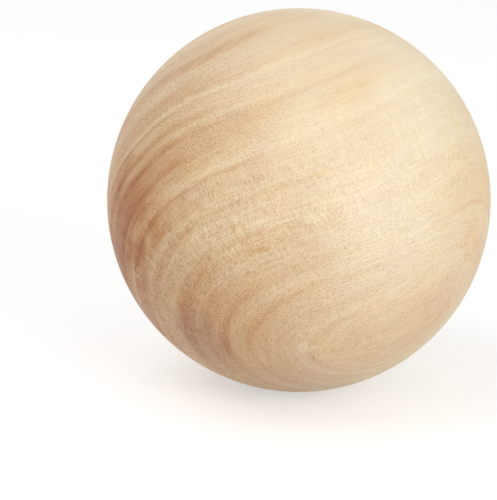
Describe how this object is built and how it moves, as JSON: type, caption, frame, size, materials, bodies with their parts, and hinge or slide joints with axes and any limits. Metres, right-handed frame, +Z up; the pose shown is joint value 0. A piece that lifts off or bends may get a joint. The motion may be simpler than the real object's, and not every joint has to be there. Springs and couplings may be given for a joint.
{
  "type": "wooden ball",
  "caption": "Plain solid wooden ball, turned round and sanded smooth, with visible growth rings, for crafts, display or as a finial.",
  "frame": {"origin": "centre of the ball", "axes": "+Z up as the ball is shown, -Y towards the viewer; the grain runs from the left end, a little low and near, to the right end, a little high and far"},
  "size_m": [0.08, 0.08, 0.08],
  "materials": {
    "wood": "bare pale hardwood, fine-sanded, matte with a faint sheen"
  },
  "bodies": {
    "root": {"ball": "wood"}
  },
  "joints": []
}
